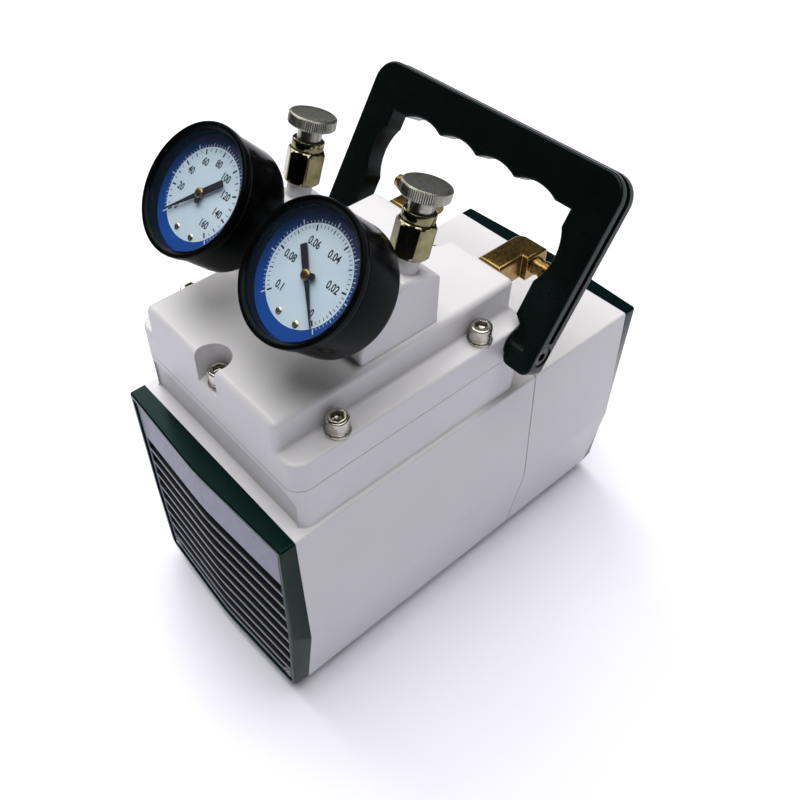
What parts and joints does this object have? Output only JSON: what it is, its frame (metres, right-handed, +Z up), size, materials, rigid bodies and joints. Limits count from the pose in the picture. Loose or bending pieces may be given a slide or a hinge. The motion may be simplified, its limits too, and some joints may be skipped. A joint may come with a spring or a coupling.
{
  "type": "diaphragm vacuum pump",
  "caption": "Portable oil-free diaphragm vacuum pump with vacuum and pressure gauges, bleed valves, hose elbows, louvred casing and a folding handle.",
  "frame": {"origin": "centre of the pump's footprint, on the plane its rubber feet stand on", "axes": "+Z up, -Y the front louvre under the gauges, +X the inlet side with the vacuum gauge"},
  "size_m": [0.147, 0.2378, 0.2628],
  "materials": {
    "white_paint": "satin enamel",
    "green_frame": "satin dark green plastic",
    "grey_panel": "lavender grey moulding",
    "bright_steel": "bright stainless steel",
    "black_rubber": "matt black rubber",
    "bare_aluminium": "machined casting",
    "gasket": "compressed fibre and rubber",
    "valve_rubber": "fluorocarbon rubber",
    "diaphragm_rubber": "fabric-backed rubber",
    "bearing_steel": "ground steel",
    "cast_steel": "machined cast iron",
    "black_plastic": "black glass-filled plastic",
    "lamination_steel": "stacked steel laminations",
    "copper_wire": "varnished copper wire",
    "capacitor_shell": "moulded capacitor shell",
    "black_enamel": "gloss black enamel",
    "clear_glass": "clear gauge lens",
    "dial_face": "printed dial",
    "pointer_black": "matt black pointer",
    "dark_brass": "blackened brass",
    "yellow_brass": "plain brass",
    "bright_nickel": "nickel plate",
    "bush_nylon": "natural nylon",
    "black_screw": "blackened steel"
  },
  "bodies": {
    "casing": {"cable_gland": "black_plastic", "dial_screws": "yellow_brass", "diaphragm": "diaphragm_rubber", "disc_pins": "bright_steel", "foot_screws": "bright_steel", "front_frame": "green_frame", "front_grille": "grey_panel", "front_motor_bracket": "bare_aluminium", "gauge_lenses": "clear_glass", "gauge_sockets": "dark_brass", "gland_nuts": "black_plastic", "grille_screws": "bright_steel", "handle_pivot_screws": "black_screw", "head_cover": "white_paint", "head_gasket": "gasket", "head_screws": "bright_steel", "head_washers": "bright_steel", "inlet_elbow": "yellow_brass", "manifold_block": "white_paint", "manifold_screws": "bright_steel", "motor_bearings": "bearing_steel", "motor_screws": "bright_steel", "outlet_elbow": "yellow_brass", "pressure_gauge_case": "black_enamel", "pressure_gauge_dial": "dial_face", "pressure_valve_body": "bright_nickel", "pump_housing": "white_paint", "rear_casing": "white_paint", "rear_frame": "green_frame", "rear_grille": "grey_panel", "rear_motor_bracket": "bare_aluminium", "rubber_feet": "black_rubber", "run_capacitor": "capacitor_shell", "stator_core": "lamination_steel", "stator_windings": "copper_wire", "switch_housing": "black_plastic", "vacuum_gauge_case": "black_enamel", "vacuum_gauge_dial": "dial_face", "vacuum_valve_body": "bright_nickel", "valve_plate": "bare_aluminium"},
    "handle": {"handle": "black_plastic", "handle_bushes": "bush_nylon"},
    "vacuum_knob": {"vacuum_valve_knob": "bright_nickel", "vacuum_valve_needle": "bearing_steel"},
    "pressure_knob": {"pressure_valve_knob": "bright_nickel", "pressure_valve_needle": "bearing_steel"},
    "vacuum_pointer": {"vacuum_gauge_pointer": "pointer_black"},
    "pressure_pointer": {"pressure_gauge_pointer": "pointer_black"},
    "rotor": {"motor_shaft": "bearing_steel", "crank_eccentric": "cast_steel", "crank_screws": "bright_steel", "rotor_core": "cast_steel", "cooling_fan": "black_plastic"},
    "connecting_rod": {"connecting_rod": "bare_aluminium", "rod_bearing": "bearing_steel", "diaphragm_clamp": "bare_aluminium", "diaphragm_screw": "bright_steel"},
    "rocker": {"switch_rocker": "black_plastic"},
    "inlet_disc": {"inlet_valve_disc": "valve_rubber"},
    "outlet_disc": {"outlet_valve_disc": "valve_rubber"}
  },
  "joints": [
    {"name": "handle_fold", "type": "hinge", "parent": "casing", "child": "handle", "pos_m": [0, 0.0203, 0.1678], "axis": [1, 0, 0], "range_deg": [-79, 30.5]},
    {"name": "vacuum_valve_turn", "type": "hinge", "parent": "casing", "child": "vacuum_knob", "pos_m": [0.0341, -0.0279, 0.21865], "axis": [0, 0.2974, 0.9548], "range_deg": [0, 1080]},
    {"name": "pressure_valve_turn", "type": "hinge", "parent": "casing", "child": "pressure_knob", "pos_m": [-0.0341, -0.0279, 0.21865], "axis": [0, 0.2974, 0.9548], "range_deg": [0, 1080]},
    {"name": "vacuum_pointer_swing", "type": "hinge", "parent": "casing", "child": "vacuum_pointer", "pos_m": [0.0339, -0.0787, 0.2437], "axis": [0, -0.7071, 0.7071], "range_deg": [0, 270], "stiffness_Nm_per_rad": 0.002, "springref_deg": -11.46},
    {"name": "pressure_pointer_swing", "type": "hinge", "parent": "casing", "child": "pressure_pointer", "pos_m": [-0.0339, -0.0787, 0.2437], "axis": [0, 0.7071, -0.7071], "range_deg": [0, 270], "stiffness_Nm_per_rad": 0.002, "springref_deg": -11.46},
    {"name": "rotor_spin", "type": "hinge", "parent": "casing", "child": "rotor", "pos_m": [0, 0, 0.07], "axis": [0, 1, 0], "continuous": true},
    {"name": "rod_on_eccentric", "type": "hinge", "parent": "rotor", "child": "connecting_rod", "pos_m": [0, -0.03775, 0.0745], "axis": [0, 1, 0], "continuous": true, "deforming": ["diaphragm"]},
    {"name": "switch_rock", "type": "hinge", "parent": "casing", "child": "rocker", "pos_m": [-0.06273, 0.078, 0.096], "axis": [-0.0717, 0, -0.9974], "range_deg": [0, 16]},
    {"name": "inlet_disc_lift", "type": "slide", "parent": "casing", "child": "inlet_disc", "axis": [0, 0, -1], "range_m": [0, 0.0012], "stiffness_N_per_m": 20, "springref_m": -0.001},
    {"name": "outlet_disc_lift", "type": "slide", "parent": "casing", "child": "outlet_disc", "axis": [0, 0, 1], "range_m": [0, 0.0012], "stiffness_N_per_m": 20, "springref_m": -0.001}
  ],
  "couplings": [
    {"joint": "rod_on_eccentric", "follows": "rotor_spin", "ratio": -1}
  ]
}
